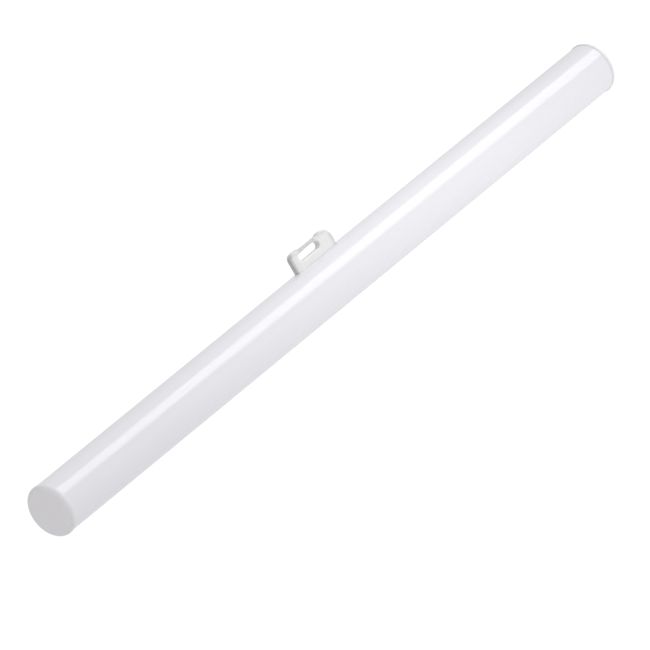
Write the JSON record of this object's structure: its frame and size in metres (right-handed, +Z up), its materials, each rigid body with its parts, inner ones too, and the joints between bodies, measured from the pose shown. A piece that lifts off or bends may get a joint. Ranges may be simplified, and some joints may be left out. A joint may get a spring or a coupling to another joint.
{
  "type": "linear tube lamp",
  "caption": "Long opal white tube closed by a flat cap at each end, with one slotted lamp cap in the middle that clips into a line lamp holder and carries a contact strip on each end.",
  "frame": {"origin": "on the crown of the tube, in the middle of its length, where the lamp cap leaves the tube", "axes": "+X along the tube, +Z up along the lamp cap into its holder, +Y across the tube"},
  "size_m": [0.5, 0.0306, 0.0414],
  "materials": {
    "opal_plastic": "smooth opal white",
    "white_end_plastic": "satin moulded white",
    "white_cap_plastic": "satin moulded white",
    "contact_metal": "plated grey strip"
  },
  "bodies": {
    "root": {"opal_tube": "opal_plastic", "end_cap_left": "white_end_plastic", "end_cap_right": "white_end_plastic", "lamp_cap": "white_cap_plastic", "contact_left": "contact_metal", "contact_right": "contact_metal"}
  },
  "joints": []
}
